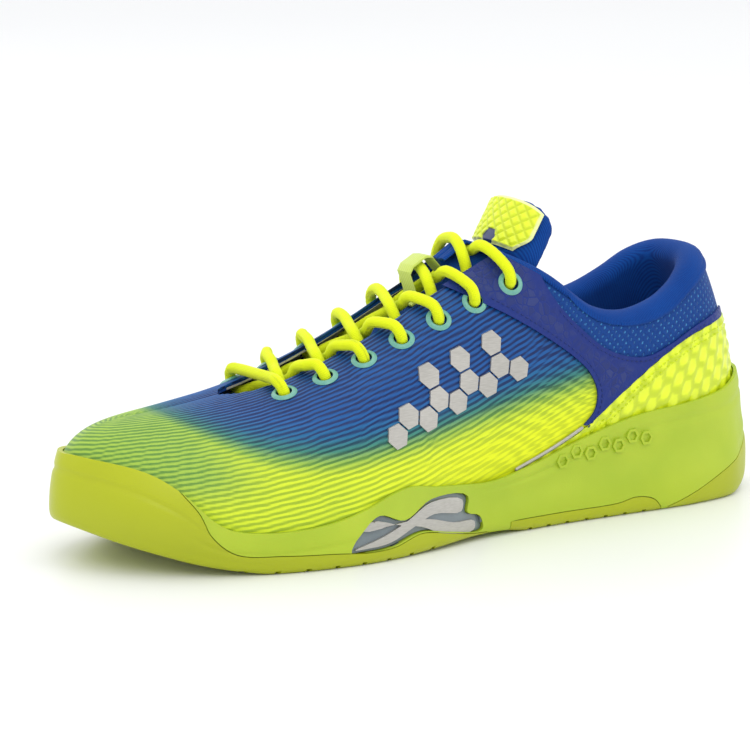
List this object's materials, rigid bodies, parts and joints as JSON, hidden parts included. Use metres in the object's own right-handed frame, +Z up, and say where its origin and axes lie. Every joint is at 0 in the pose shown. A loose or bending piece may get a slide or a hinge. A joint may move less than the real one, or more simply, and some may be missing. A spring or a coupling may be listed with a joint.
{
  "type": "court shoe",
  "caption": "Low-cut left court shoe for racket sports: laced ribbed upper, padded collar and tongue, foam midsole with a side brace, and a rubber outsole that wraps the toe.",
  "frame": {"origin": "on the floor, under the middle of the shoe's length and width", "axes": "+X towards the toe, +Y towards the outer side of the foot, +Z up"},
  "size_m": [0.298, 0.106, 0.1189],
  "materials": {
    "vamp_synthetic": "ribbed knit with a smooth film, blue fading to yellow-green",
    "navy_overlay": "satin film with a crackle pattern",
    "yellow_panel": "satin, embossed",
    "midsole_foam": "matt moulded foam",
    "outsole_rubber": "satin, slightly translucent",
    "lining_fabric": "soft knit",
    "mesh_fabric": "open mesh",
    "padding_foam": "open foam",
    "board": "stitched board",
    "stiffener": "matt",
    "insole_fabric": "brushed fabric",
    "lace_fabric": "round braid",
    "silver_trim": "satin metallic",
    "shank_plastic": "glossy, slightly translucent",
    "gel": "translucent",
    "lace_tip": "clear"
  },
  "bodies": {
    "shoe": {"midsole": "midsole_foam", "outsole_forefoot": "outsole_rubber", "outsole_heel": "outsole_rubber", "outsole_crash_pad": "outsole_rubber", "shank_plate": "shank_plastic", "shank_brace_lateral": "silver_trim", "shank_brace_medial": "silver_trim", "heel_cushion": "gel", "forefoot_cushion": "gel", "strobel_board": "board", "insole": "insole_fabric", "vamp_shell": "vamp_synthetic", "vamp_lining": "lining_fabric", "eyestay_lateral": "stiffener", "eyestay_medial": "stiffener", "toe_puff": "stiffener", "heel_counter": "stiffener", "collar_foam": "padding_foam", "collar_lining": "lining_fabric", "collar_mesh": "mesh_fabric", "quarter_overlay_lateral": "navy_overlay", "quarter_overlay_medial": "navy_overlay", "heel_panel": "yellow_panel", "heel_badge": "silver_trim", "side_film_lateral": "silver_trim", "side_film_medial": "silver_trim", "tongue_base": "lining_fabric", "tongue_lace_loop": "yellow_panel", "lace": "lace_fabric", "lace_tail_lateral": "lace_fabric", "aglet_lateral": "lace_tip", "lace_tail_medial": "lace_fabric", "aglet_medial": "lace_tip"},
    "tongue_top": {"tongue_top_pad": "lining_fabric", "tongue_badge": "yellow_panel"}
  },
  "joints": [
    {"name": "tongue_flap", "type": "hinge", "parent": "shoe", "child": "tongue_top", "pos_m": [-0.028, 0.0022, 0.1], "axis": [0, 1, 0], "range_deg": [-12, 55], "stiffness_Nm_per_rad": 0.02}
  ]
}
